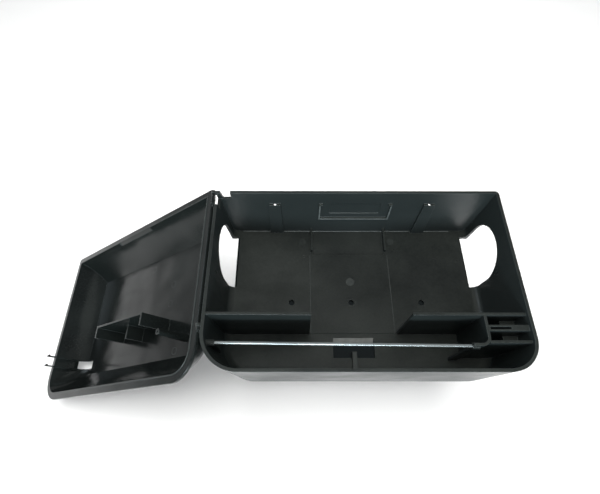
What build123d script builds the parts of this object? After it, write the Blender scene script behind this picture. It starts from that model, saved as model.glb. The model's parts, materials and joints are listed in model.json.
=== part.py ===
from build123d import *
import os
from math import cos, radians, sin, sqrt, tan

# Moulded housing box with a hinged, domed lid and a steel rod across its near compartment.
# Millimetres. X runs along the long sides, Y away from the near side, Z up out of the open
# box. The origin is the centre anchor hole, on the underside. The lid is drawn open, at its stop.

# ---------------------------------------------------------------- housing shell
length = 300.0              # rim, outside, along X
width = 185.0               # rim, outside, along Y
height = 78.0               # underside to rim
wall = 3.0
floor = 3.5
anchor_from_left = 146.7    # centre anchor hole, from the rim's left side
anchor_from_near = 86.3     # and from the rim's near side
side_lean = 5.4             # how far each wall leans in towards the floor, degrees
near_lean = 1.9
far_lean = 3.2
hinge_corner_r = 36.0       # near corner on the hinge side
latch_corner_r = 30.0       # near corner on the latch side
far_corner_r = 4.0
foot_fillet = 8.0           # inside, where the near and side walls meet the floor

# ---------------------------------------------------------------- entry arches, both sides
entry_y = 50.2              # centre of the arch
entry_width = 64.0
entry_spring = 26.0         # height where the arch's half circle starts
entry_notch = 9.9           # how far the cut reaches in across the floor

# ---------------------------------------------------------------- baffles and latch pockets
baffle_y = -34.25           # centre line of the two baffles
baffle_t = 2.5
baffle_drop = 3.5           # below the rim, at the doorway
baffle_rise = 2.5           # the left baffle is this much higher at its wall
doorway = 94.0              # gap between the two baffles
rail_from_right = 41.0      # rail that closes the latch pockets, from the rim's right side
rail_corner_r = 7.0
channel_y = -47.25          # hollow rib between the two pockets
channel_width = 5.5
channel_slot = 2.1
near_rib_y = -59.75
near_rib_t = 2.5
catch_reach = 19.3          # face of the catch shelf in the pockets, from the right side
catch_drop = 23.0           # top of the shelf, below the rim

# ---------------------------------------------------------------- rod and its sockets
rod_d = 3.0
rod_fit = 0.05              # radial clearance in the sockets
rod_y_left = -59.1          # the rod lies a little askew
rod_y_right = -62.0
rod_drop = 10.0             # centre line, below the rim
socket_d = 6.0
left_socket_reach = 12.2    # open end of the left socket, from the rim's left side
left_socket_depth = 6.0
right_socket_reach = 55.6   # open end of the right socket, from the rim's right side
right_socket_length = 6.5
right_socket_depth = 5.0

# ---------------------------------------------------------------- floor details
anchor_xs = (-66.5, 0.0, 78.5)
anchor_d = 6.5
centre_anchor_d = 6.0
centre_ring_d = 9.6         # shallow seat round the centre hole
seat_depth = 0.6
panel_half = 45.5           # raised panel in the middle of the floor
panel_near = -35.0
panel_far = 58.7
panel_rise = 0.8
ramp_drop = 1.6             # the floor beyond the panel ramps down to this at its near edge
bar_near = 62.7             # low bars that flank the ramp
bar_in = 1.2                # and stand this far in from the panel's sides
bar_t = 2.0
bar_height = 6.0
gate_y = 24.5
gate_d = 10.0
slot_half = 22.0            # slot through the floor in the near compartment
slot_near = -60.7
slot_far = -44.5
slot_ramp = 5.2             # length of the sloped far side of the slot
tongue_t = 5.0              # low rib that reaches over the slot from the near wall
tongue_rise = 4.0
tongue_end = -54.8

# ---------------------------------------------------------------- far wall details
column_x = 84.7
column_top_w = 12.0
column_foot_w = 15.5
column_proud = 3.0          # from the wall's inner face
column_top = 60.0
column_skin = 1.8
column_hole_d = 3.0
ledge_x = 4.0               # centre of the U-shaped ledge
ledge_half = 40.2
ledge_t = 2.0
ledge_bottom = 31.8
ledge_top = 60.0
ledge_proud = 2.4
ledge_hook = 4.0
recess_half = 28.0          # shallow recess in the wall between the ledge's arms
recess_depth = 1.0
recess_bottom = 41.0

# ---------------------------------------------------------------- hinge
hinge_out = 2.0             # hinge axis, outside the rim's left side
hinge_drop = 1.0            # and below the rim
ear_r = 2.4
ear_t = 3.0
near_ear_y = -46.8          # near face of the near ear
hinge_pin_r = 1.1
hinge_fit = 0.05            # radial clearance of each lid pin in its ear
hinge_side_gap = 0.4        # along the axis, between an ear and the lid's lug
hinge_pin_reach = 2.8       # each pin, beyond its lug
far_lug_t = 12.4            # the lugs, along the axis
near_lug_t = 3.0
hinge_notch_depth = 10.0    # the notches that free the far ear
hinge_notch_wall = 13.7     # length of the notch in the left wall
hinge_notch_x = 4.5         # far wall notch: start, from the rim's left side
hinge_notch_w = 10.8
open_angle = 38.3           # the open lid slopes down from the horizontal

# ---------------------------------------------------------------- lid
lid_hinge_edge = 4.0        # hinge axis to the flange's edge
lid_over_sides = 6.6        # flange beyond the rim, near and far sides
lid_over_free = 1.8         # flange beyond the rim, free side
lid_corner_r = 31.0         # near corners of the flange
lid_far_corner_r = 4.0
flange_t = 3.0
flange_edge_r = 1.2
rim_gap = 0.3               # between the housing's rim and the closed lid's bead
bead_in = 7.2               # bead round the mouth: outer face, from the flange's edge
bead_t = 1.2
bead_proud = 0.6
lid_depth = 36.0            # hinge axis to the inside of the top
lid_skin = 2.6
dome_in = 25.7              # how far the domed walls lean in over the depth
dome_in_free = 20.4
dome_in_hinge = 20.0
dome_start = 14.0           # lean of the domed walls where they leave the flange, degrees
dome_corner_r = 22.0        # near corners inside; the far ones meet in a crease
relief_from = 121.0         # chamfered stretch of the far side's mouth, without its bead
relief_length = 70.0
relief_drop = 4.5

bracket_t = 2.0             # bracket walls inside the lid
bracket_y = -14.8
bracket_from = 99.5
bracket_length = 95.5
bracket_leg = 14.0
bracket_mid = 151.0
bracket_mid_height = 21.0
bracket_mid_leg = 18.0
post_u = 64.0
post_y = -41.3
post_foot_d = 9.0
post_tip_d = 6.0
post_bore_d = 3.0

window_in = 39.8            # key window: hinge-side end, from the flange's free edge
window_length = 22.0
window_drop = 22.5          # and its top, below the hinge axis
arm_t = 1.6
arm_width = 3.0
arm_reach = 14.0            # snap arms, beyond the hinge axis
arm_nose = 1.4
arm_in = 22.8               # hinge-side face of the arms, from the flange's free edge
arm_spread = 11.6           # between the arms, either side of the hollow rib
lug_r = 1.7                 # round the hinge axis, clear of the housing's wall

# ---------------------------------------------------------------- derived places
x_left = -anchor_from_left
x_right = x_left + length
y_near = -anchor_from_near
y_far = y_near + width
hinge_x = x_left - hinge_out
hinge_z = height - hinge_drop
lean = radians(open_angle)
baffle_top = height - baffle_drop
rail_x = x_right - rail_from_right
catch_x = x_right - catch_reach
catch_top = height - catch_drop
left_socket_x = x_left + left_socket_reach
right_socket_x = x_right - right_socket_reach
rod_z = height - rod_drop
rod_slope = (rod_y_right - rod_y_left) / (right_socket_x - left_socket_x)
lid_free_edge = hinge_out + length + lid_over_free
lid_face = hinge_drop + rim_gap + bead_proud
bead_top = lid_face - bead_proud
lid_mouth = bead_in + bead_t
arm_u = lid_free_edge - arm_in
arm_ys = (channel_y - arm_spread / 2, channel_y + arm_spread / 2)
lid_plane = Plane(
    origin=(hinge_x, 0, hinge_z),
    x_dir=(-cos(lean), 0, -sin(lean)),
    z_dir=(sin(lean), 0, -cos(lean)),
)


def lean_in(z, angle):
    """How far a wall has leaned in at height z."""
    return (height - z) * tan(radians(angle))


def far_wall(proud):
    """Plane on the far wall's inner face, or proud of it: x along X, y up the wall."""
    return Plane(
        origin=(0, y_far - lean_in(0, far_lean) - wall, 0),
        x_dir=(1, 0, 0),
        z_dir=(0, -cos(radians(far_lean)), sin(radians(far_lean))),
    ).offset(proud)


def across_rod(x):
    """Plane square to the rod, where it passes x."""
    return Plane(
        origin=(x, rod_y_left + rod_slope * (x - left_socket_x), rod_z),
        x_dir=(-rod_slope, 1, 0),
        z_dir=(1, rod_slope, 0),
    )


def plan(plane, left, right, near, far, left_r, right_r, far_r):
    """Four-sided face with rounded corners: left_r and right_r are those of the near side."""
    with BuildSketch(plane) as outline:
        with BuildLine():
            Polyline((left, near), (right, near), (right, far), (left, far), close=True)
        make_face()
        fillet(outline.vertices().group_by(Axis.Y)[0].sort_by(Axis.X)[0], left_r)
        fillet(outline.vertices().group_by(Axis.Y)[0].sort_by(Axis.X)[-1], right_r)
        if far_r > 0:
            fillet(outline.vertices().group_by(Axis.Y)[-1], far_r)
    return outline.sketch.face()


def shell_block(z0, z1, inset):
    """Solid with the housing's four leaning walls, set in from their outer faces."""
    with BuildPart() as solid:
        with BuildSketch(Plane.XZ.offset(-y_far)):
            with BuildLine():
                Polyline(
                    (x_left + lean_in(z0, side_lean) + inset, z0),
                    (x_right - lean_in(z0, side_lean) - inset, z0),
                    (x_right - lean_in(z1, side_lean) - inset, z1),
                    (x_left + lean_in(z1, side_lean) + inset, z1),
                    close=True,
                )
            make_face()
        extrude(amount=width)
        with BuildSketch(Plane.YZ.offset(x_left)):
            with BuildLine():
                Polyline(
                    (y_near + lean_in(z0, near_lean) + inset, z0),
                    (y_far - lean_in(z0, far_lean) - inset, z0),
                    (y_far - lean_in(z1, far_lean) - inset, z1),
                    (y_near + lean_in(z1, near_lean) + inset, z1),
                    close=True,
                )
            make_face()
        extrude(amount=length, mode=Mode.INTERSECT)
        corners = solid.edges().filter_by(lambda e: abs(e.tangent_at(0.5).Z) > 0.9)
        near = corners.sort_by(Axis.Y)[:2].sort_by(Axis.X)
        fillet(near[0], hinge_corner_r - inset)
        corners = solid.edges().filter_by(lambda e: e.geom_type == GeomType.LINE)
        corners = corners.filter_by(lambda e: abs(e.tangent_at(0.5).Z) > 0.9)
        fillet(corners.group_by(Axis.Y)[0].sort_by(Axis.X)[-1], latch_corner_r - inset)
    return solid.part


def block(x0, x1, y0, y1, z0, z1, mode=Mode.ADD):
    """Upright block between the given faces."""
    with BuildSketch(Plane.XY.offset(z0)) as footprint:
        with Locations(((x0 + x1) / 2, (y0 + y1) / 2)):
            Rectangle(x1 - x0, y1 - y0)
    extrude(footprint.sketch, amount=z1 - z0, mode=mode)


# The hollow inside of the shell, rounded where the near and side walls meet the floor.
with BuildPart() as cavity:
    add(shell_block(floor, height + wall, wall))
    fillet(cavity.edges().group_by(Axis.Z)[0].sort_by(Axis.Y)[0], foot_fillet)

# Everything inside stops within the thickness of the walls and floor.
with BuildPart() as room:
    add(shell_block(floor / 2, height, wall / 2))

# Walls, ribs and bosses that stand inside the housing.
with BuildPart() as inside:
    # baffles, with a doorway between them
    for wall_x, wall_top in ((x_left, baffle_top + baffle_rise), (x_right, baffle_top)):
        door_x = doorway / 2 if wall_x > 0 else -doorway / 2
        with BuildSketch(Plane.XZ.offset(-(baffle_y - baffle_t / 2))):
            with BuildLine():
                Polyline((door_x, 0), (wall_x, 0), (wall_x, wall_top), (door_x, baffle_top), close=True)
            make_face()
        extrude(amount=-baffle_t)
    # rail round the latch pockets, turning in to carry the rod's right socket
    with BuildSketch():
        with BuildLine():
            FilletPolyline(
                (rail_x, baffle_y),
                (rail_x, rod_y_right),
                (right_socket_x, rod_y_right),
                radius=rail_corner_r,
            )
        trace(line_width=baffle_t)
    extrude(amount=baffle_top)
    # ribs either side of the near pocket
    channel_edges = (channel_y - channel_width / 2, channel_y + channel_width / 2)
    block(rail_x, x_right, channel_edges[0], channel_edges[1], 0, baffle_top)
    block(rail_x, x_right, near_rib_y - near_rib_t / 2, near_rib_y + near_rib_t / 2, 0, baffle_top)
    # catch shelf in both pockets
    block(catch_x, x_right, near_rib_y, baffle_y, 0, catch_top)
    # sockets for the rod, each on its web
    sockets = ((right_socket_x, right_socket_length), (left_socket_x, x_left - left_socket_x))
    for socket_x, socket_length in sockets:
        with BuildSketch(across_rod(socket_x)):
            Circle(socket_d / 2)
        extrude(amount=socket_length)
    block(
        x_left, left_socket_x, rod_y_left - baffle_t / 2, rod_y_left + baffle_t / 2, rod_z / 2, rod_z
    )
    # raised panel, low bars and the tongue over the slot
    block(-panel_half, panel_half, panel_near, panel_far, 0, floor + panel_rise)
    bar_x = panel_half - bar_in - bar_t / 2
    for x in (-bar_x, bar_x):
        block(x - bar_t / 2, x + bar_t / 2, bar_near, y_far, 0, floor + bar_height)
    block(-tongue_t / 2, tongue_t / 2, y_near, tongue_end, 0, floor + tongue_rise)
    # columns on the far wall, wider at the foot
    for x in (-column_x, column_x):
        with BuildSketch(far_wall(column_proud)):
            with BuildLine():
                Polyline(
                    (x - column_foot_w / 2, 0),
                    (x + column_foot_w / 2, 0),
                    (x + column_top_w / 2, column_top),
                    (x - column_top_w / 2, column_top),
                    close=True,
                )
            make_face()
        extrude(amount=-(column_proud + wall))
    # U-shaped ledge with a hook at the top of each arm
    with BuildSketch(far_wall(ledge_proud)):
        with Locations((ledge_x, (ledge_bottom + ledge_top) / 2)):
            Rectangle(2 * ledge_half, ledge_top - ledge_bottom)
        with Locations((ledge_x, (ledge_bottom + ledge_top) / 2 + ledge_t)):
            Rectangle(2 * (ledge_half - ledge_t), ledge_top - ledge_bottom, mode=Mode.SUBTRACT)
        for side in (-1, 1):
            with Locations((ledge_x + side * (ledge_half - ledge_hook / 2), ledge_top - ledge_t / 2)):
                Rectangle(ledge_hook, ledge_t)
    extrude(amount=-(ledge_proud + wall))
    add(room.part, mode=Mode.INTERSECT)

with BuildPart() as base:
    add(shell_block(0, height, 0))
    fillet(base.edges().filter_by(lambda e: abs(e.tangent_at(0.5).Z) > 0.9).sort_by(Axis.Y)[-2:], far_corner_r)
    add(cavity.part, mode=Mode.SUBTRACT)
    add(inside.part)

    # far ear, on the corner of the far wall, and near ear, on the left wall
    for ear_y, ear_root in ((y_far - ear_t, far_corner_r), (near_ear_y, wall / 2)):
        with BuildSketch(Plane.XZ.offset(-ear_y)):
            with Locations((hinge_x, hinge_z)):
                Circle(ear_r)
            with Locations((hinge_x, hinge_z - ear_r)):
                Rectangle(hinge_out + ear_root, ear_r + hinge_drop, align=(Align.MIN, Align.MIN))
        extrude(amount=-ear_t)
    # notches beside the far ear, in the left wall and in the far wall
    wall_notch_far = y_far - ear_t
    notch_z = height - hinge_notch_depth
    block(
        x_left - hinge_out,
        x_left + wall + far_corner_r + hinge_notch_depth * tan(radians(side_lean)),
        wall_notch_far - hinge_notch_wall,
        wall_notch_far - 0.01,
        notch_z,
        height + wall,
        mode=Mode.SUBTRACT,
    )
    with BuildSketch(Plane.XZ.offset(-(y_far - 2 * wall))):
        with BuildLine():
            Polyline(
                (x_left + hinge_notch_x + 2.5, notch_z),
                (x_left + hinge_notch_x + hinge_notch_w, notch_z),
                (x_left + hinge_notch_x + hinge_notch_w, height + wall),
                (x_left + hinge_notch_x, height + wall),
                (x_left + hinge_notch_x, height),
                close=True,
            )
        make_face()
    extrude(amount=-3 * wall, mode=Mode.SUBTRACT)
    # pin holes in the ears
    for ear_y in (y_far - ear_t, near_ear_y):
        with BuildSketch(Plane.XZ.offset(-(ear_y - 1))):
            with Locations((hinge_x, hinge_z)):
                Circle(hinge_pin_r + hinge_fit)
        extrude(amount=-(ear_t + 2), mode=Mode.SUBTRACT)

    # entry arches, cut through the side walls and the edge of the floor
    sill_left = x_left + lean_in(0, side_lean) + entry_notch
    sill_right = x_right - lean_in(0, side_lean) - entry_notch
    for sill, reach in ((sill_left, x_left - sill_left - 1), (sill_right, x_right - sill_right + 1)):
        with BuildSketch(Plane.YZ.offset(sill)):
            with Locations((entry_y, entry_spring / 2 - 1)):
                Rectangle(entry_width, entry_spring + 2)
            with Locations((entry_y, entry_spring)):
                Circle(entry_width / 2)
        extrude(amount=reach, mode=Mode.SUBTRACT)

    # slot down the middle of the hollow rib
    block(
        rail_x + baffle_t,
        catch_x,
        channel_y - channel_slot / 2,
        channel_y + channel_slot / 2,
        floor,
        height,
        mode=Mode.SUBTRACT,
    )
    # the catch shelf is hollow from below
    core_right = x_right - lean_in(0, side_lean) - wall
    for y0, y1 in (
        (near_rib_y + near_rib_t / 2 + wall / 2, channel_edges[0] - wall / 2),
        (channel_edges[1] + wall / 2, baffle_y - baffle_t / 2 - wall / 2),
    ):
        block(catch_x + baffle_t, core_right, y0, y1, -1, catch_top - baffle_t, mode=Mode.SUBTRACT)

    # the rod's bore, in both sockets
    bore_from = left_socket_x - left_socket_depth
    bore_to = right_socket_x + right_socket_depth
    with BuildSketch(across_rod(bore_from)):
        Circle(rod_d / 2 + rod_fit)
    extrude(amount=bore_to - bore_from, mode=Mode.SUBTRACT)

    # ramp in the floor beyond the panel
    ramp_far = y_far - lean_in(floor, far_lean) - wall
    ramp_half = bar_x - bar_t / 2
    with BuildSketch(Plane.YZ.offset(-ramp_half)):
        with BuildLine():
            Polyline((panel_far, floor - ramp_drop), (ramp_far, floor), (panel_far, floor), close=True)
        make_face()
    extrude(amount=2 * ramp_half, mode=Mode.SUBTRACT)

    # slot through the near floor, with its far side sloped; the tongue stays over it
    block(-slot_half, slot_half, tongue_end, slot_far, -1, floor + 1, mode=Mode.SUBTRACT)
    for side in (-1, 1):
        x0, x1 = sorted((side * tongue_t / 2, side * slot_half))
        block(x0, x1, slot_near, tongue_end, -1, floor + 1, mode=Mode.SUBTRACT)
    with BuildSketch(Plane.YZ.offset(-slot_half)):
        with BuildLine():
            Polyline((slot_far, floor), (slot_far + slot_ramp, floor), (slot_far, 0), close=True)
        make_face()
    extrude(amount=2 * slot_half, mode=Mode.SUBTRACT)

    # anchor holes, with a shallow seat round the centre one, and the gate mark
    for x in anchor_xs:
        hole_r = centre_anchor_d / 2 if x == 0 else anchor_d / 2
        with BuildSketch():
            with Locations((x, 0)):
                Circle(hole_r)
        extrude(amount=floor + panel_rise, mode=Mode.SUBTRACT)
    seat_z = floor + panel_rise
    with BuildSketch(Plane.XY.offset(seat_z)):
        Circle(centre_ring_d / 2)
        with Locations((0, gate_y)):
            Circle(gate_d / 2)
    extrude(amount=-seat_depth, mode=Mode.SUBTRACT)

    # the columns are hollow from outside, with a hole in each top
    for x in (-column_x, column_x):
        with BuildSketch(far_wall(column_proud - column_skin)):
            with BuildLine():
                Polyline(
                    (x - column_foot_w / 2 + column_skin, -1),
                    (x + column_foot_w / 2 - column_skin, -1),
                    (x + column_top_w / 2 - column_skin, column_top - column_skin),
                    (x - column_top_w / 2 + column_skin, column_top - column_skin),
                    close=True,
                )
            make_face()
        extrude(amount=-2 * wall, mode=Mode.SUBTRACT)
        hole_y = y_far - lean_in(column_top, far_lean) - wall - column_proud / 3
        with BuildSketch(Plane.XY.offset(column_top - column_skin - 1)):
            with Locations((x, hole_y)):
                Circle(column_hole_d / 2)
        extrude(amount=column_skin + 2, mode=Mode.SUBTRACT)

    # shallow recess in the far wall, between the arms of the ledge
    with BuildSketch(far_wall(-recess_depth)):
        with Locations((ledge_x, (recess_bottom + ledge_top) / 2)):
            Rectangle(2 * recess_half, ledge_top - recess_bottom)
    extrude(amount=recess_depth + ledge_proud, mode=Mode.SUBTRACT)

base.part.label = "base"

# Straight steel rod, seated near the bottom of each socket.
rod_end_gap = 0.5
rod_left = bore_from + rod_end_gap
rod_right = bore_to - rod_end_gap
with BuildPart() as bait_rod:
    with BuildSketch(across_rod(rod_left)):
        Circle(rod_d / 2)
    extrude(amount=rod_right - rod_left)
    chamfer(bait_rod.edges(), rod_d / 8)

bait_rod.part.label = "bait_rod"


def lid_plan(depth, inset, hinge_inset, near_r, far_r):
    """Plan of the lid at a depth below its skirt's edge, set in from the flange's edge."""
    return plan(
        lid_plane.offset(depth),
        lid_hinge_edge + hinge_inset,
        lid_free_edge - inset,
        y_near - lid_over_sides + inset,
        y_far + lid_over_sides - inset,
        near_r,
        near_r,
        far_r,
    )


def lid_block(u0, u1, y0, y1, d0, d1, mode=Mode.ADD):
    """Block in the lid's directions: u from the hinge axis, d down from the skirt's edge."""
    with BuildSketch(lid_plane.offset(d0)) as footprint:
        with Locations(((u0 + u1) / 2, (y0 + y1) / 2)):
            Rectangle(u1 - u0, y1 - y0)
    extrude(footprint.sketch, amount=d1 - d0, mode=mode)


def lid_side(y):
    """Plane across the lid at y, with u along its first axis and depth along its second."""
    return Plane(origin=(hinge_x, y, hinge_z), x_dir=lid_plane.x_dir, z_dir=(0, -1, 0))


def lid_end(u):
    """Plane across the lid at u, with y along its first axis and depth along its second."""
    return Plane(lid_plane.origin, x_dir=(0, 1, 0), z_dir=lid_plane.x_dir).offset(u)


def dome_at(depth, reach, skin):
    """How far a domed wall has come in at a depth: skin 0 for its inner face, else its outer."""
    start = radians(dome_start)
    radius = (reach**2 + lid_depth**2) / (2 * (reach * cos(start) - lid_depth * sin(start)))
    return radius * cos(start) - sqrt((radius + skin) ** 2 - (depth + radius * sin(start)) ** 2)


def dome_profile(plane, low, high, low_reach, high_reach, skin):
    """Cross-section between two domed walls, down to the skin's own depth."""
    stops = [share * (lid_depth + skin) for share in (0, 0.5, 1)]
    with BuildSketch(plane) as profile:
        with BuildLine():
            low_arc = ThreePointArc([(low + dome_at(stop, low_reach, skin), stop) for stop in stops])
            high_arc = ThreePointArc([(high - dome_at(stop, high_reach, skin), stop) for stop in stops])
            Line(low_arc @ 1, high_arc @ 1)
            Line(low_arc @ 0, high_arc @ 0)
        make_face()
    return profile.sketch


def dome_block(skin):
    """Solid with the lid's domed walls: skin 0 gives their inner faces, lid_skin their outer."""
    hinge_mouth = lid_hinge_edge + lid_mouth - dome_at(lid_face, dome_in_hinge, 0)
    free_mouth = lid_free_edge - lid_mouth + dome_at(lid_face, dome_in_free, 0)
    side_mouth = lid_mouth - dome_at(lid_face, dome_in, 0)
    near_mouth = y_near - lid_over_sides + side_mouth
    far_mouth = y_far + lid_over_sides - side_mouth
    spare = 2 * skin
    with BuildPart() as solid:
        across = dome_profile(
            lid_side(far_mouth + spare), hinge_mouth, free_mouth, dome_in_hinge, dome_in_free, skin
        )
        extrude(across, amount=far_mouth - near_mouth + 2 * spare)
        along = dome_profile(lid_end(hinge_mouth - spare), near_mouth, far_mouth, dome_in, dome_in, skin)
        extrude(along, amount=free_mouth - hinge_mouth + 2 * spare, mode=Mode.INTERSECT)
        mitres = solid.edges().filter_by(lambda e: abs(e.tangent_at(0.5).dot(lid_plane.z_dir)) > 0.5)
        fillet(mitres.sort_by(Axis.Y)[:2], dome_corner_r + skin)
    return solid.part


# The lid's hollow, from the bead to the inside of the top, and its outer form.
dome_end = lid_depth + lid_skin
with BuildPart() as lid_hollow:
    add(dome_block(0))

with BuildPart() as lid_dome:
    add(dome_block(lid_skin))
    lid_block(0, lid_free_edge, y_near - wall, y_far + wall, lid_face, dome_end, mode=Mode.INTERSECT)

# What stands inside the lid stops within its skin.
with BuildPart() as lid_room:
    add(dome_block(lid_skin / 2))
    lid_block(0, lid_free_edge, y_near - wall, y_far + wall, 0, dome_end, mode=Mode.INTERSECT)

with BuildPart() as lid_inside:
    # bracket: a long wall with a leg at each end and a lower one between
    bracket_to = bracket_from + bracket_length
    lid_block(bracket_from, bracket_to, bracket_y - bracket_t, bracket_y, 0, dome_end)
    for u in (bracket_from, bracket_to - bracket_t):
        lid_block(u, u + bracket_t, bracket_y - bracket_leg, bracket_y, 0, dome_end)
    mid_top = lid_depth - bracket_mid_height
    lid_block(bracket_mid, bracket_mid + bracket_t, bracket_y - bracket_mid_leg, bracket_y, mid_top, dome_end)
    # hollow post, tapered, with a gusset at its foot
    with BuildSketch(lid_plane):
        with Locations((post_u, post_y)):
            Circle(post_tip_d / 2)
    with BuildSketch(lid_plane.offset(dome_end)):
        with Locations((post_u, post_y)):
            Circle(post_foot_d / 2)
    loft()
    lid_block(post_u, post_u + post_foot_d, post_y - arm_t / 2, post_y + arm_t / 2, mid_top, dome_end)
    with BuildSketch(lid_plane):
        with Locations((post_u, post_y)):
            Circle(post_bore_d / 2)
    extrude(amount=lid_depth, mode=Mode.SUBTRACT)
    # the snap arms' feet, which run down to the free wall
    for y in arm_ys:
        lid_block(arm_u, arm_u + arm_width, y - arm_t / 2, y + arm_t / 2, 0, dome_end)
    add(lid_room.part, mode=Mode.INTERSECT)

with BuildPart() as lid:
    # flange, rounded round its outer edge
    extrude(lid_plan(lid_face, 0, 0, lid_corner_r, lid_far_corner_r), amount=flange_t)
    fillet(lid.faces().sort_by(Axis(lid_plane.origin, lid_plane.z_dir))[0].edges(), flange_edge_r)
    add(lid_dome.part)
    # bead round the mouth
    extrude(
        lid_plan(bead_top, bead_in, bead_in, lid_corner_r - bead_in, bead_t),
        amount=bead_proud + flange_t,
    )
    extrude(
        lid_plan(bead_top, lid_mouth, lid_mouth, lid_corner_r - lid_mouth, 0),
        amount=bead_proud,
        mode=Mode.SUBTRACT,
    )
    add(lid_hollow.part, mode=Mode.SUBTRACT)
    # chamfered stretch of the far side, where the bead is left out
    bead_y = y_far + lid_over_sides - bead_in
    relief_y = bead_y - bead_t - dome_at(relief_drop, dome_in, 0)
    with BuildSketch(lid_end(relief_from)):
        with BuildLine():
            Polyline(
                (bead_y, bead_top - bead_proud),
                (bead_y, lid_face),
                (relief_y, lid_face + relief_drop),
                (relief_y, bead_top - bead_proud),
                close=True,
            )
        make_face()
    extrude(amount=relief_length, mode=Mode.SUBTRACT)
    # key window, through the edge of the top between the arms
    window_from = lid_free_edge - window_in
    lid_block(
        window_from,
        window_from + window_length,
        arm_ys[0] + arm_t / 2,
        arm_ys[1] - arm_t / 2,
        window_drop,
        dome_end + lid_skin,
        mode=Mode.SUBTRACT,
    )
    add(lid_inside.part)
    # snap arms, each with a nose towards the far side
    for y in arm_ys:
        arm_face = y + arm_t / 2
        lid_block(arm_u, arm_u + arm_width, y - arm_t / 2, arm_face, -arm_reach, flange_t)
        with BuildSketch(lid_end(arm_u)):
            with BuildLine():
                Polyline(
                    (arm_face, -arm_reach),
                    (arm_face + arm_nose, -arm_reach + arm_nose),
                    (arm_face + arm_nose, -arm_reach + 1.5 * arm_nose),
                    (arm_face, -arm_reach + 2 * arm_nose),
                    close=True,
                )
            make_face()
        extrude(amount=arm_width)
    # lugs on the near side of each ear, with the pins that enter the ears
    flange_foot = lid_face + flange_t
    for ear_y, lug_t in ((y_far - ear_t, far_lug_t), (near_ear_y, near_lug_t)):
        lug_y = ear_y - hinge_side_gap
        with BuildSketch(lid_side(lug_y)):
            Circle(lug_r)
            with BuildLine():
                Polyline(
                    (-1.2, 1.2),
                    (1.8, flange_foot),
                    (lid_hinge_edge + lid_far_corner_r, flange_foot),
                    (lid_hinge_edge + lid_far_corner_r, lid_face + flange_edge_r),
                    (1.6, lid_face),
                    (1.6, 0.6),
                    close=True,
                )
            make_face()
        extrude(amount=lug_t)
        with BuildSketch(lid_side(lug_y)):
            Circle(hinge_pin_r)
        extrude(amount=-hinge_pin_reach)

lid.part.label = "lid"

os.makedirs("parts", exist_ok=True)
export_step(base.part, "parts/base.step")
export_step(bait_rod.part, "parts/bait_rod.step")
export_step(lid.part, "parts/lid.step")
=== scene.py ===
import json
import math

import bmesh
import bpy
from mathutils import Matrix, Vector
from mathutils.bvhtree import BVHTree


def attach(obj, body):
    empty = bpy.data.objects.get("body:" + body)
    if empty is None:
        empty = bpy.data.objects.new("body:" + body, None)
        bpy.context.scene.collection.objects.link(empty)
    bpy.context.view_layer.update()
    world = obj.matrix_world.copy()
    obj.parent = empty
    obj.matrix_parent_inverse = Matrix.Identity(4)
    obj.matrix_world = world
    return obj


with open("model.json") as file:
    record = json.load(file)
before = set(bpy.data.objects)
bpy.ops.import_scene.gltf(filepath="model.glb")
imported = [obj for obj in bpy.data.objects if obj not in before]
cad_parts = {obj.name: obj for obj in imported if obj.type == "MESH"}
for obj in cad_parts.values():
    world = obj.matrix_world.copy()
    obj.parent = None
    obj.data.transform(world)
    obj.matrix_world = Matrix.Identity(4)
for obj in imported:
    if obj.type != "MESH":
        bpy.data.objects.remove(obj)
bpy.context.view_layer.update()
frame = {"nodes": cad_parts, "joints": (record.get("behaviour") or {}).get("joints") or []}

scene = bpy.context.scene

# ---------------------------------------------------------------- camera
camera_place = (-0.0585, -0.1389, 0.4235)
camera_pitch = 26.37        # degrees up from straight down
camera_yaw = -0.39
camera_roll = 0.41
focal_px = 391.66           # in a picture 600 pixels wide
picture_px = 600.0
sensor_mm = 36.0


def turn(degrees, axis):
    return Matrix.Rotation(math.radians(degrees), 4, axis)


def make_camera():
    data = bpy.data.cameras.new("camera")
    data.sensor_fit = "HORIZONTAL"
    data.sensor_width = sensor_mm
    data.lens = focal_px * sensor_mm / picture_px
    data.clip_start = 0.02
    data.clip_end = 20.0
    camera = bpy.data.objects.new("camera", data)
    scene.collection.objects.link(camera)
    turned = turn(camera_yaw, "Z") @ turn(camera_pitch, "X") @ turn(camera_roll, "Z")
    camera.matrix_world = Matrix.Translation(Vector(camera_place)) @ turned
    scene.camera = camera


make_camera()

# ---------------------------------------------------------------- colour management
scene.view_settings.view_transform = "Standard"
scene.view_settings.look = "None"
scene.view_settings.exposure = 0.0
scene.view_settings.gamma = 1.0


# ---------------------------------------------------------------- light
def studio_world(horizon, zenith):
    """Bright round the horizon and darker overhead, like a white sweep under a dim ceiling."""
    world = bpy.data.worlds.new("studio")
    scene.world = world
    world.use_nodes = True
    tree = world.node_tree
    coords = tree.nodes.new("ShaderNodeTexCoord")
    height = tree.nodes.new("ShaderNodeSeparateXYZ")
    ramp = tree.nodes.new("ShaderNodeValToRGB")
    ramp.color_ramp.elements[0].position = 0.06
    ramp.color_ramp.elements[0].color = (*horizon, 1.0)
    ramp.color_ramp.elements[1].position = 0.34
    ramp.color_ramp.elements[1].color = (*zenith, 1.0)
    tree.links.new(coords.outputs["Generated"], height.inputs[0])
    tree.links.new(height.outputs["Z"], ramp.inputs["Fac"])
    tree.links.new(ramp.outputs["Color"], tree.nodes["Background"].inputs["Color"])
    tree.nodes["Background"].inputs["Strength"].default_value = 1.0


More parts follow.
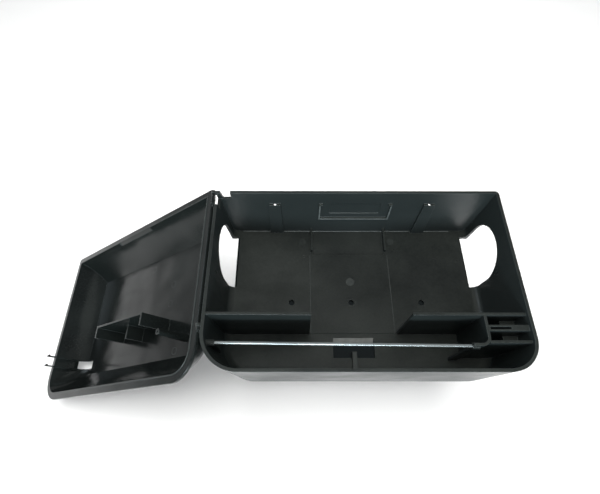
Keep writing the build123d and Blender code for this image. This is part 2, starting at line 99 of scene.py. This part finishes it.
def soft_box(name, place, aim, size, power, color, gloss=True, only=None):
    """A rectangular soft box. It may stay out of reflections, and light only one collection."""
    data = bpy.data.lights.new(name, "AREA")
    data.shape = "RECTANGLE"
    data.size = size[0]
    data.size_y = size[1]
    data.energy = power
    data.color = color
    lamp = bpy.data.objects.new(name, data)
    lamp.location = place
    lamp.rotation_euler = (Vector(aim) - Vector(place)).to_track_quat("-Z", "Y").to_euler()
    lamp.visible_glossy = gloss
    if only is not None:
        lamp.light_linking.receiver_collection = only
    scene.collection.objects.link(lamp)


lit_part = bpy.data.collections.new("lit_part")
for node in frame["nodes"].values():
    lit_part.objects.link(node)

lit_stage = bpy.data.collections.new("lit_stage")

studio_world(horizon=(0.66, 0.67, 0.67), zenith=(0.215, 0.225, 0.23))
middle = (0.0, 0.0, 0.02)
lid_middle = (-0.25, 0.0, 0.0)
lid_far_side = (-0.25, 0.05, 0.0)
lid_shadow = (-0.2, -0.1, -0.15)
white = (1.0, 1.0, 1.0)
soft_box("top_box", (0.02, 0.0, 1.3), middle, (0.6, 0.5), 19.0, (1.0, 1.0, 0.98), gloss=False)
soft_box("sweep_box", (0.0, 0.10, 1.5), middle, (0.9, 0.8), 6.0, white, gloss=False, only=lit_stage)
soft_box("room_box", (0.0, 0.6, 3.2), middle, (6.0, 6.0), 78.0, white, gloss=False, only=lit_stage)
soft_box("left_fill", (-1.25, -0.55, 0.85), lid_shadow, (0.8, 0.5), 5.0, white, gloss=False, only=lit_stage)
soft_box("low_box", (-0.1, -1.5, 0.72), middle, (1.2, 0.4), 40.0, (0.82, 0.95, 1.0), only=lit_part)
soft_box("near_card", (-0.1, -1.0, 1.1), middle, (1.0, 0.3), 3.2, (0.95, 0.98, 1.0), only=lit_part)
soft_box("cool_card", (-0.95, 0.35, 0.55), lid_middle, (0.35, 0.5), 1.6, (0.80, 0.92, 1.0), only=lit_part)
soft_box("warm_card", (-0.75, -0.85, 0.10), lid_far_side, (0.5, 0.12), 0.7, (1.0, 0.93, 0.82), only=lit_part)
soft_box("far_card", (-0.25, 0.30, 1.3), middle, (0.8, 0.35), 0.6, (0.93, 1.0, 0.95), only=lit_part)

# ---------------------------------------------------------------- floor and stand
floor_z = -0.150            # the open lid hangs below the base, so a stand carries the base
floor_half = 4.0
pad_t = 0.0015              # a dark sheet between the stand and the base, painted shade so that holes in the base look dark
pad_gap = 0.0003
pad_near_left = (-0.132, -0.071)
pad_far_right = (0.134, 0.083)
stand_near_left = (-0.105, -0.045)
stand_far_right = (0.107, 0.060)
white_albedo = 0.9
far_albedo = 0.72
fade_start = 0.70           # painted light falloff: the sweep's colour dims between these distances from the object
fade_end = 1.6


def staged(name, verts, faces, material):
    mesh = bpy.data.meshes.new(name)
    mesh.from_pydata(verts, [], faces)
    obj = bpy.data.objects.new(name, mesh)
    mesh.materials.append(material)
    scene.collection.objects.link(obj)
    lit_stage.objects.link(obj)


def slab(name, low, high, material):
    verts = [(x, y, z) for z in (low[2], high[2]) for y in (low[1], high[1]) for x in (low[0], high[0])]
    faces = [(0, 2, 3, 1), (4, 5, 7, 6), (0, 1, 5, 4), (2, 6, 7, 3), (0, 4, 6, 2), (1, 3, 7, 5)]
    staged(name, verts, faces, material)


def paper(name, color):
    mat = bpy.data.materials.new(name)
    mat.use_nodes = True
    bsdf = mat.node_tree.nodes["Principled BSDF"]
    bsdf.inputs["Base Color"].default_value = color
    bsdf.inputs["Roughness"].default_value = 0.9
    return mat


def painted_falloff_paper(name):
    """White paper with a painted light falloff: its colour dims with the distance from the object, as the
    light on a lit sweep does.
    """
    mat = paper(name, (white_albedo, white_albedo, white_albedo, 1.0))
    tree = mat.node_tree
    length = tree.nodes.new("ShaderNodeVectorMath")
    length.operation = "LENGTH"
    fade = tree.nodes.new("ShaderNodeMapRange")
    fade.interpolation_type = "SMOOTHSTEP"
    fade.inputs["From Min"].default_value = fade_start
    fade.inputs["From Max"].default_value = fade_end
    fade.inputs["To Min"].default_value = white_albedo
    fade.inputs["To Max"].default_value = far_albedo
    tree.links.new(tree.nodes.new("ShaderNodeTexCoord").outputs["Object"], length.inputs[0])
    tree.links.new(length.outputs["Value"], fade.inputs["Value"])
    tree.links.new(fade.outputs["Result"], tree.nodes["Principled BSDF"].inputs["Base Color"])
    return mat


white_paper = paper("white_paper", (white_albedo, white_albedo, white_albedo, 1.0))
# painted shade: a dark sheet seen through the base's holes
shade_sheet = paper("painted_shade_sheet", (0.006, 0.0075, 0.008, 1.0))
shade_sheet.node_tree.nodes["Principled BSDF"].inputs["Specular IOR Level"].default_value = 0.1
corner_signs = ((-1, -1), (1, -1), (1, 1), (-1, 1))
floor_corners = [(i * floor_half, j * floor_half, floor_z) for i, j in corner_signs]
# the sweep's colour carries a painted light falloff
staged("sweep", floor_corners, [(0, 1, 2, 3)], painted_falloff_paper("sweep_paper"))
pad_bottom = -pad_gap - pad_t
slab("pad", (*pad_near_left, pad_bottom), (*pad_far_right, -pad_gap), shade_sheet)
slab("stand", (*stand_near_left, floor_z), (*stand_far_right, pad_bottom), white_paper)


# ---------------------------------------------------------------- materials
class Nodes:
    """A few short ways to add nodes to one material."""

    def __init__(self, name):
        self.material = bpy.data.materials.new(name)
        self.material.use_nodes = True
        self.tree = self.material.node_tree
        self.bsdf = self.tree.nodes["Principled BSDF"]
        self.place = self.add("ShaderNodeTexCoord").outputs["Object"]

    def add(self, kind, **settings):
        node = self.tree.nodes.new(kind)
        for key, value in settings.items():
            setattr(node, key, value)
        return node

    def link(self, source, target):
        self.tree.links.new(source, target)

    def noise(self, scale, detail=2.0, rough=0.5, stretch=None, seed=0.0):
        """Noise with features about 1/scale metres wide, longer along an axis whose stretch is under 1."""
        mapping = self.add("ShaderNodeMapping")
        mapping.inputs["Location"].default_value = (seed, seed, seed)
        mapping.inputs["Scale"].default_value = stretch or (1.0, 1.0, 1.0)
        self.link(self.place, mapping.inputs["Vector"])
        noise = self.add("ShaderNodeTexNoise")
        noise.inputs["Scale"].default_value = scale
        noise.inputs["Detail"].default_value = detail
        noise.inputs["Roughness"].default_value = rough
        self.link(mapping.outputs["Vector"], noise.inputs["Vector"])
        return noise.outputs["Fac"]

    def spread(self, value, low, high, from_low=0.3, from_high=0.7):
        """Map a value onto the range from low to high. The default ends of its own range suit a noise."""
        node = self.add("ShaderNodeMapRange")
        node.inputs["From Min"].default_value = from_low
        node.inputs["From Max"].default_value = from_high
        node.inputs["To Min"].default_value = low
        node.inputs["To Max"].default_value = high
        self.link(value, node.inputs["Value"])
        return node.outputs["Result"]

    def math(self, operation, *values):
        """One sum on numbers or on other nodes' outputs."""
        node = self.add("ShaderNodeMath", operation=operation)
        for socket, value in zip(node.inputs, values):
            if isinstance(value, (int, float)):
                socket.default_value = value
            else:
                self.link(value, socket)
        return node.outputs[0]

    def blend(self, factor, dark, light):
        """Go from one plain colour to another."""
        node = self.add("ShaderNodeMix", data_type="RGBA")
        node.inputs["A"].default_value = (*dark, 1.0)
        node.inputs["B"].default_value = (*light, 1.0)
        self.link(factor, node.inputs["Factor"])
        return node.outputs["Result"]

    def mixed(self, factor, under, tint):
        """Lay one plain tint over a node's colour."""
        node = self.add("ShaderNodeMix", data_type="RGBA")
        self.link(under, node.inputs["A"])
        node.inputs["B"].default_value = (*tint, 1.0)
        self.link(factor, node.inputs["Factor"])
        return node.outputs["Result"]

    def bump(self, height, strength, distance, below=None):
        """Relief up to distance metres high, laid over another normal if there is one."""
        node = self.add("ShaderNodeBump")
        node.inputs["Strength"].default_value = strength
        node.inputs["Distance"].default_value = distance
        self.link(height, node.inputs["Height"])
        if below is not None:
            self.link(below, node.inputs["Normal"])
        return node.outputs["Normal"]


edge_round = 0.0007         # moulded edges aren't sharp
edge_wear_and_highlight = 0.75            # how much of the tint an edge takes: rubbed wear and a painted edge highlight
cloud_share = 0.7           # of the shade; the flecks have the rest
sink_depth = 0.002
grain_depth = 0.00008
plastic_ior = 1.5
dim_ior = 1.33              # under a real plastic's, so that the lid mirrors the floor less


def plastic(name, dark, light, wall, wear_and_highlight_tint, gloss, grain, sink, ior):
    """Black moulding: cloudy flow shading, uneven gloss, a fine grain, slow sinks, and rubbed edges with a
    painted edge highlight.

    Upright walls take the wall colour, painted light that shows them lit more than the floor, and gloss is
    the lowest and the highest roughness.
    """
    n = Nodes(name)
    cloud = n.noise(9.0, detail=4.0, rough=0.6)
    fleck = n.noise(420.0, detail=3.0, rough=0.65, seed=3.0)
    clouded = n.math("MULTIPLY", cloud, cloud_share)
    flecked = n.math("MULTIPLY", fleck, 1.0 - cloud_share)
    shade = n.math("ADD", clouded, flecked)
    moulded = n.blend(n.spread(shade, 0.0, 1.0, 0.35, 0.65), dark, light)
    # painted light: upright walls take a lighter wall colour, as if they caught more light than the floor
    facing = n.add("ShaderNodeSeparateXYZ")
    n.link(n.add("ShaderNodeNewGeometry").outputs["Normal"], facing.inputs[0])
    painted_wall_light = n.spread(n.math("ABSOLUTE", facing.outputs["Z"]), 1.0, 0.0, 0.25, 0.8)
    # rubbed wear and a painted highlight: rounded edges take a lighter tint
    rounded = n.add("ShaderNodeBevel", samples=6)
    rounded.inputs["Radius"].default_value = edge_round
    agreement = n.add("ShaderNodeVectorMath", operation="DOT_PRODUCT")
    n.link(rounded.outputs["Normal"], agreement.inputs[0])
    n.link(n.add("ShaderNodeNewGeometry").outputs["True Normal"], agreement.inputs[1])
    wear_and_highlight_mask = n.spread(agreement.outputs["Value"], edge_wear_and_highlight, 0.0, 0.72, 0.96)
    n.link(n.mixed(wear_and_highlight_mask, n.mixed(painted_wall_light, moulded, wall), wear_and_highlight_tint), n.bsdf.inputs["Base Color"])
    smear = n.noise(14.0, detail=3.0, rough=0.6, stretch=(1.0, 3.0, 1.0), seed=7.0)
    n.link(n.spread(smear, *gloss), n.bsdf.inputs["Roughness"])
    sinks = n.bump(n.noise(22.0, detail=1.0, seed=11.0), sink, sink_depth, rounded.outputs["Normal"])
    fine = n.bump(n.noise(2600.0, detail=2.0, seed=5.0), grain, grain_depth, sinks)
    n.link(fine, n.bsdf.inputs["Normal"])
    n.bsdf.inputs["IOR"].default_value = ior
    return n.material


def steel(name):
    """Drawn wire: fine lines along the wire and a slightly dulled surface."""
    n = Nodes(name)
    n.bsdf.inputs["Metallic"].default_value = 0.8
    dull = n.noise(60.0, detail=3.0, stretch=(0.3, 1.0, 1.0))
    grey = n.blend(n.spread(dull, 0.0, 1.0), (0.30, 0.33, 0.335), (0.46, 0.49, 0.49))
    n.link(grey, n.bsdf.inputs["Base Color"])
    drawn = n.noise(900.0, detail=2.0, stretch=(0.02, 1.0, 1.0), seed=2.0)
    n.link(n.spread(drawn, 0.22, 0.42), n.bsdf.inputs["Roughness"])
    n.link(n.bump(drawn, 0.25, 0.00005), n.bsdf.inputs["Normal"])
    return n.material


def satin(name, dark, light, rough):
    """A lighter, duller patch of the same moulding, as a mould insert leaves it; also laid as painted
    highlight where edges and faces catch light.
    """
    n = Nodes(name)
    cloud = n.noise(160.0, detail=4.0, rough=0.6)
    n.link(n.blend(n.spread(cloud, 0.0, 1.0, 0.35, 0.65), dark, light), n.bsdf.inputs["Base Color"])
    n.link(n.spread(n.noise(300.0, seed=4.0), rough, rough + 0.12), n.bsdf.inputs["Roughness"])
    n.link(n.bump(n.noise(1800.0, detail=2.0, seed=6.0), 0.4, 0.00006), n.bsdf.inputs["Normal"])
    return n.material


def dress(node, material):
    for slot in frame["nodes"][node].material_slots:
        slot.material = material


housing_plastic = plastic("housing_plastic", dark=(0.0050, 0.0062, 0.0058), light=(0.0200, 0.0225, 0.0205),
                          wall=(0.0150, 0.0190, 0.0190), wear_and_highlight_tint=(0.052, 0.061, 0.060),
                          gloss=(0.26, 0.50), grain=0.4, sink=0.2, ior=plastic_ior)
lid_plastic = plastic("lid_plastic", dark=(0.0035, 0.0045, 0.0045), light=(0.0110, 0.0130, 0.0125),
                      wall=(0.0080, 0.0100, 0.0095), wear_and_highlight_tint=(0.095, 0.108, 0.106),
                      gloss=(0.10, 0.24), grain=0.12, sink=0.5, ior=dim_ior)
# mould-insert marks, and painted highlights on the panel lines and the tongue
insert_mark_and_highlight = satin("insert_mark_and_highlight", (0.024, 0.027, 0.026), (0.036, 0.040, 0.038), 0.42)
ejector_mark = satin("ejector_mark", (0.012, 0.014, 0.013), (0.020, 0.0225, 0.021), 0.46)
# painted highlight for edges that catch light
painted_edge_highlight = satin("painted_edge_highlight", (0.060, 0.068, 0.068), (0.100, 0.108, 0.106), 0.40)
# a pale film of painted light for the slot's ramp
painted_ramp_light = satin("painted_ramp_light", (0.11, 0.115, 0.11), (0.16, 0.165, 0.16), 0.5)
dress("base", housing_plastic)
dress("lid", lid_plastic)
dress("bait_rod", steel("rod_steel"))

# ---------------------------------------------------------------- tools for small marks
# From here on places are in millimetres, as in the CAD, and are turned into metres by mm.
mm = 0.001
mark_proud = 0.12 * mm
mark_sink = 0.1 * mm
rim_chamfer = 0.15 * mm
upward = Vector((0.0, 0.0, 1.0))
farward = Vector((0.0, 1.0, 0.0))
look_down_from = 30.0       # z where rays start that look for the floor, above its ribs
look_far_from = 60.0        # y where rays start that look for the far wall
base_mesh = BVHTree.FromObject(frame["nodes"]["base"], bpy.context.evaluated_depsgraph_get())


def seen(start, look):
    """The point of the housing that a ray from a place in millimetres meets, in metres."""
    return base_mesh.ray_cast(Vector(start) * mm, look)[0]


def floor_height(x, y):
    """Top of the housing's floor, in metres, at a place in millimetres."""
    return seen((x, y, look_down_from), -upward).z


def piece(name, bm, body, material):
    """Close the mesh and let it ride on a body."""
    bmesh.ops.recalc_face_normals(bm, faces=bm.faces)
    mesh = bpy.data.meshes.new(name)
    bm.to_mesh(mesh)
    bm.free()
    mesh.materials.append(material)
    obj = bpy.data.objects.new(name, mesh)
    scene.collection.objects.link(obj)
    lit_part.objects.link(obj)
    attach(obj, body)


def disc(name, seat, radius, body, material, hole=0.0, steps=40):
    """A very low disc or ring with a chamfered rim. seat is the matrix of the face it lies on."""
    bm = bmesh.new()
    shoulder = mark_proud * 0.4
    profile = [(radius, -mark_sink), (radius, shoulder), (radius - rim_chamfer, mark_proud)]
    if hole:
        profile += [(hole + rim_chamfer, mark_proud), (hole, shoulder), (hole, -mark_sink)]
    angles = [2.0 * math.pi * k / steps for k in range(steps)]
    rings = []
    for r, z in profile:
        places = [seat @ Vector((r * math.cos(angle), r * math.sin(angle), z)) for angle in angles]
        rings.append([bm.verts.new(place) for place in places])
    loops = rings + [rings[0]] if hole else rings
    for outer, inner in zip(loops, loops[1:]):
        for k in range(steps):
            following = (k + 1) % steps
            bm.faces.new((outer[k], outer[following], inner[following], inner[k]))
    if not hole:
        bm.faces.new(rings[-1])
        bm.faces.new(reversed(rings[0]))
    piece(name, bm, body, material)


def strip(name, start, end, width, proud, material):
    """A low bar with chamfered sides on a level face of the housing, as deep in it as it stands proud."""
    start, end = Vector(start) * mm, Vector(end) * mm
    side = (end - start).cross(upward).normalized() * width * mm / 2.0
    up = upward * proud * mm
    shoulder = up * 0.5
    crown = side * 0.6
    outline = [-side - up, -side + shoulder, -crown + up, crown + up, side + shoulder, side - up]
    bm = bmesh.new()
    ends = [[bm.verts.new(place + offset) for offset in outline] for place in (start, end)]
    for k in range(len(outline)):
        following = (k + 1) % len(outline)
        bm.faces.new((ends[0][k], ends[0][following], ends[1][following], ends[1][k]))
    bm.faces.new(ends[0])
    bm.faces.new(reversed(ends[1]))
    piece(name, bm, "housing", material)


def film(name, starts, look, material):
    """A thin plate on the housing, with its corners where rays from the four starts meet it."""
    hits = [seen(start, look) for start in starts]
    bm = bmesh.new()
    front = [bm.verts.new(hit - look * mark_proud) for hit in hits]
    back = [bm.verts.new(hit + look * mark_proud) for hit in hits]
    bm.faces.new(reversed(front))
    bm.faces.new(back)
    for k in range(4):
        following = (k + 1) % 4
        bm.faces.new((front[k], front[following], back[following], back[k]))
    piece(name, bm, "housing", material)


def floor_film(name, x0, x1, y0, y1, material):
    z = look_down_from
    film(name, [(x0, y0, z), (x1, y0, z), (x1, y1, z), (x0, y1, z)], -upward, material)


def far_film(name, x0, x1, z0, z1, material):
    y = look_far_from
    film(name, [(x0, y, z0), (x1, y, z0), (x1, y, z1), (x0, y, z1)], farward, material)


# ---------------------------------------------------------------- marks on the housing's floor
ejector_r = 4.0 * mm
gate_r = 4.6 * mm
gate = (0.0, 24.5)
floor_ejectors = {"ejector_left": (-54.0, 76.0), "ejector_right": (51.5, 76.5)}


def on_floor(x, y):
    return Matrix.Translation(Vector((x * mm, y * mm, floor_height(x, y))))


disc("gate_disc", on_floor(*gate), gate_r, "housing", insert_mark_and_highlight)
for name, place in floor_ejectors.items():
    disc(name, on_floor(*place), ejector_r, "housing", ejector_mark)

panel_half = 45.5           # a painted highlight line runs along each side of the raised panel in the floor and ends just short of the panel's own ends
panel_near = -34.0          # and ends just short of the panel's own ends
panel_far = 58.0
panel_inside = 0.97         # the panel's height is read a little in from its side
panel_mid = 10.0
panel_line_w = 0.9
panel_line_proud = 0.15
for name, x in (("panel_line_left", -panel_half), ("panel_line_right", panel_half)):
    z = floor_height(x * panel_inside, panel_mid) / mm
    strip(name, (x, panel_near, z), (x, panel_far, z), panel_line_w, panel_line_proud, insert_mark_and_highlight)

ramp_half = 21.5            # the sloped far side of the slot, just inside its edges, where a pale film is painted light
ramp_near = -44.2
ramp_far = -39.7
tongue_half = 2.0           # top of the rib that reaches over the slot, given a painted highlight
tongue_near = -80.0
tongue_far = -55.4
floor_film("slot_ramp_face", -ramp_half, ramp_half, ramp_near, ramp_far, painted_ramp_light)
# painted highlight on the tongue's upward face
floor_film("tongue_face", -tongue_half, tongue_half, tongue_near, tongue_far, insert_mark_and_highlight)

# ---------------------------------------------------------------- marks on the far wall
ledge_x = 4.0               # the U-shaped ledge
ledge_half = 40.2
ledge_t = 2.0
ledge_bottom = 31.8
ledge_top = 60.0
ledge_hook = 4.0
inset = 0.3                 # from the ledge's own edges
ledge_left = ledge_x - ledge_half
ledge_right = ledge_x + ledge_half
# painted highlight on the ledge's faces that turn to the light
far_film("ledge_bar_face", ledge_left + inset, ledge_right - inset,
         ledge_bottom + inset, ledge_bottom + ledge_t - inset, painted_edge_highlight)
for name, x in (("ledge_arm_face_left", ledge_left), ("ledge_arm_face_right", ledge_right - ledge_t)):
    far_film(name, x + inset, x + ledge_t - inset,
             ledge_bottom + ledge_t, ledge_top - ledge_hook / 2.0, painted_edge_highlight)

foot_z = 5.0                # height at which the far wall is found, to lay a painted highlight line along its foot
foot_line_back = 0.9        # from the wall's face
foot_line_w = 0.8
foot_line_proud = 0.3
foot_left = -126.0
foot_right = 124.0
column_x = 84.7
column_clear = 8.4          # a little over half a column's width at its foot
foot_look = 2.0             # step into the housing to the place where the floor's height is read
foot_y = seen((0.0, look_far_from, foot_z), farward).y / mm - foot_line_back
foot_lines = (("foot_line_left", foot_left, -column_x - column_clear),
              ("foot_line_middle", -column_x + column_clear, column_x - column_clear),
              ("foot_line_right", column_x + column_clear, foot_right))
for name, x0, x1 in foot_lines:
    z = floor_height(x0 + foot_look, foot_y - foot_look) / mm
    strip(name, (x0, foot_y, z), (x1, foot_y, z), foot_line_w, foot_line_proud, painted_edge_highlight)

# ---------------------------------------------------------------- marks on the inside of the lid
lid_hinge = frame["joints"][0]
hinge = Vector(lid_hinge["pos_m"]) / mm
open_angle = math.radians(lid_hinge["range_deg"][1] - 180.0)    # the open lid's slope from level
lid_depth = 36.0            # hinge axis to the inside of the lid's top
ring_w = 0.4 * mm
down_lid = Vector((-math.cos(open_angle), 0.0, -math.sin(open_angle)))
into_lid = Vector((math.sin(open_angle), 0.0, -math.cos(open_angle)))
# along the lid from the hinge axis, and along the hinge axis
lid_ejectors = ((150.3, 59.7), (104.6, 4.9), (103.5, 28.8), (83.9, -52.1))


def on_lid(u, y):
    """Face of the lid's inside, u from the hinge axis towards the free edge."""
    seat = Matrix((down_lid, Vector((0.0, -1.0, 0.0)), -into_lid)).transposed().to_4x4()
    seat.translation = (hinge + down_lid * u + into_lid * lid_depth + Vector((0.0, y, 0.0))) * mm
    return seat


for k, place in enumerate(lid_ejectors, start=1):
    disc(f"lid_ejector_{k}", on_lid(*place), ejector_r, "cover", insert_mark_and_highlight, hole=ejector_r - ring_w)
